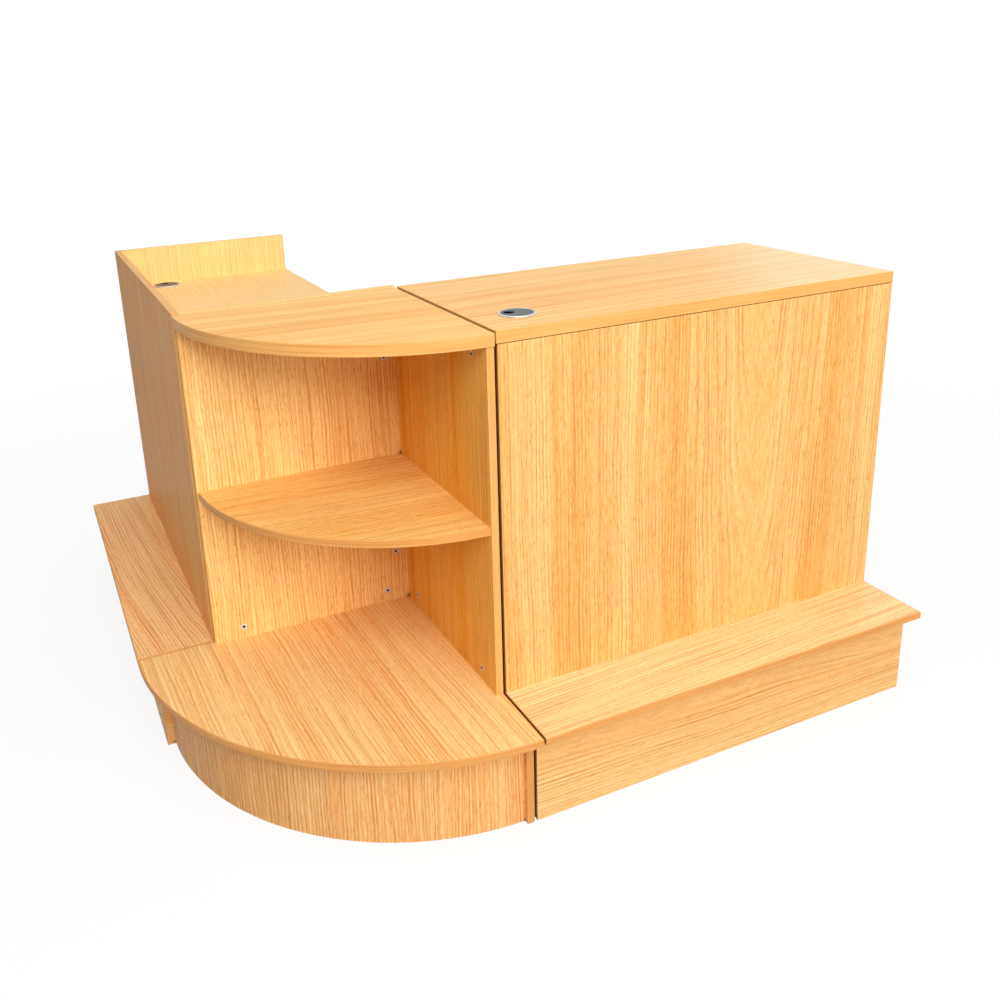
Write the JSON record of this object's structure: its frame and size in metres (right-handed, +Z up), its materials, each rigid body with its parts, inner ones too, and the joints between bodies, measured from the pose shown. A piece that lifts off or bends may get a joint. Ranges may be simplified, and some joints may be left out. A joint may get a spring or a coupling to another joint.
{
  "type": "l-shaped counter",
  "caption": "L-shaped shop counter of wood-grain board: flat-topped wing, wing with sunken worktop, and quarter-round corner unit with open shelves over a stepped plinth.",
  "frame": {"origin": "on the floor at the inside corner of the L, on the axis of the quarter-round corner unit", "axes": "+X along the right wing, +Y along the left wing, +Z up"},
  "size_m": [1.673, 1.653, 1.0025],
  "materials": {
    "oak_melamine": "satin wood-grain melamine",
    "oak_edge_band": "satin wood-grain PVC",
    "dowel_beech": "bare",
    "cam_zinc": "die-cast zinc",
    "fitting_steel": "zinc-plated",
    "grommet_silver": "silver-sprayed ABS",
    "grommet_grey": "moulded ABS",
    "grommet_black": "moulded ABS"
  },
  "bodies": {
    "root": {"corner_back_panel": "oak_melamine", "corner_base_band": "oak_edge_band", "corner_base_board": "oak_melamine", "corner_bracket_screws": "fitting_steel", "corner_cam_bolts": "fitting_steel", "corner_cams": "cam_zinc", "corner_curved_plinth": "oak_melamine", "corner_dowels": "dowel_beech", "corner_panel_bands": "oak_edge_band", "corner_plinth_bands": "oak_edge_band", "corner_plinth_brackets": "fitting_steel", "corner_plinth_left_end": "oak_melamine", "corner_plinth_right_end": "oak_melamine", "corner_shelf": "oak_melamine", "corner_shelf_band": "oak_edge_band", "corner_side_panel": "oak_melamine", "corner_top": "oak_melamine", "corner_top_band": "oak_edge_band", "left_base_band": "oak_edge_band", "left_base_board": "oak_melamine", "left_cam_bolts": "fitting_steel", "left_cams": "cam_zinc", "left_dowels": "dowel_beech", "left_end_bands": "oak_edge_band", "left_front_bands": "oak_edge_band", "left_front_panel": "oak_melamine", "left_grommet_liner": "grommet_silver", "left_inner_end_panel": "oak_melamine", "left_outer_end_panel": "oak_melamine", "left_plinth_inner_end": "oak_melamine", "left_plinth_outer_end": "oak_melamine", "left_plinth_rail": "oak_melamine", "left_riser": "oak_melamine", "left_worktop": "oak_melamine", "left_worktop_band": "oak_edge_band", "module_screws": "fitting_steel", "right_base_band": "oak_edge_band", "right_base_board": "oak_melamine", "right_cam_bolts": "fitting_steel", "right_cams": "cam_zinc", "right_dowels": "dowel_beech", "right_end_bands": "oak_edge_band", "right_front_bands": "oak_edge_band", "right_front_panel": "oak_melamine", "right_grommet_liner": "grommet_silver", "right_inner_end_panel": "oak_melamine", "right_outer_end_panel": "oak_melamine", "right_plinth_inner_end": "oak_melamine", "right_plinth_outer_end": "oak_melamine", "right_plinth_rail": "oak_melamine", "right_riser": "oak_melamine", "right_top": "oak_melamine", "right_top_band": "oak_edge_band"},
    "right_lid": {"right_grommet_lid": "grommet_grey"},
    "right_shutter": {"right_grommet_shutter": "grommet_black"},
    "left_lid": {"left_grommet_lid": "grommet_grey"},
    "left_shutter": {"left_grommet_shutter": "grommet_black"}
  },
  "joints": [
    {"name": "right_lid_lift", "type": "slide", "parent": "root", "child": "right_lid", "axis": [0, 0, 1], "range_m": [0, 0.04]},
    {"name": "right_shutter_turn", "type": "hinge", "parent": "right_lid", "child": "right_shutter", "pos_m": [0.105, -0.391, 1], "axis": [0, 0, 1], "range_deg": [0, 180]},
    {"name": "left_lid_lift", "type": "slide", "parent": "root", "child": "left_lid", "axis": [0, 0, 1], "range_m": [0, 0.04]},
    {"name": "left_shutter_turn", "type": "hinge", "parent": "left_lid", "child": "left_shutter", "pos_m": [-0.374, 0.911, 0.895], "axis": [0, 0, 1], "range_deg": [0, 180]}
  ]
}
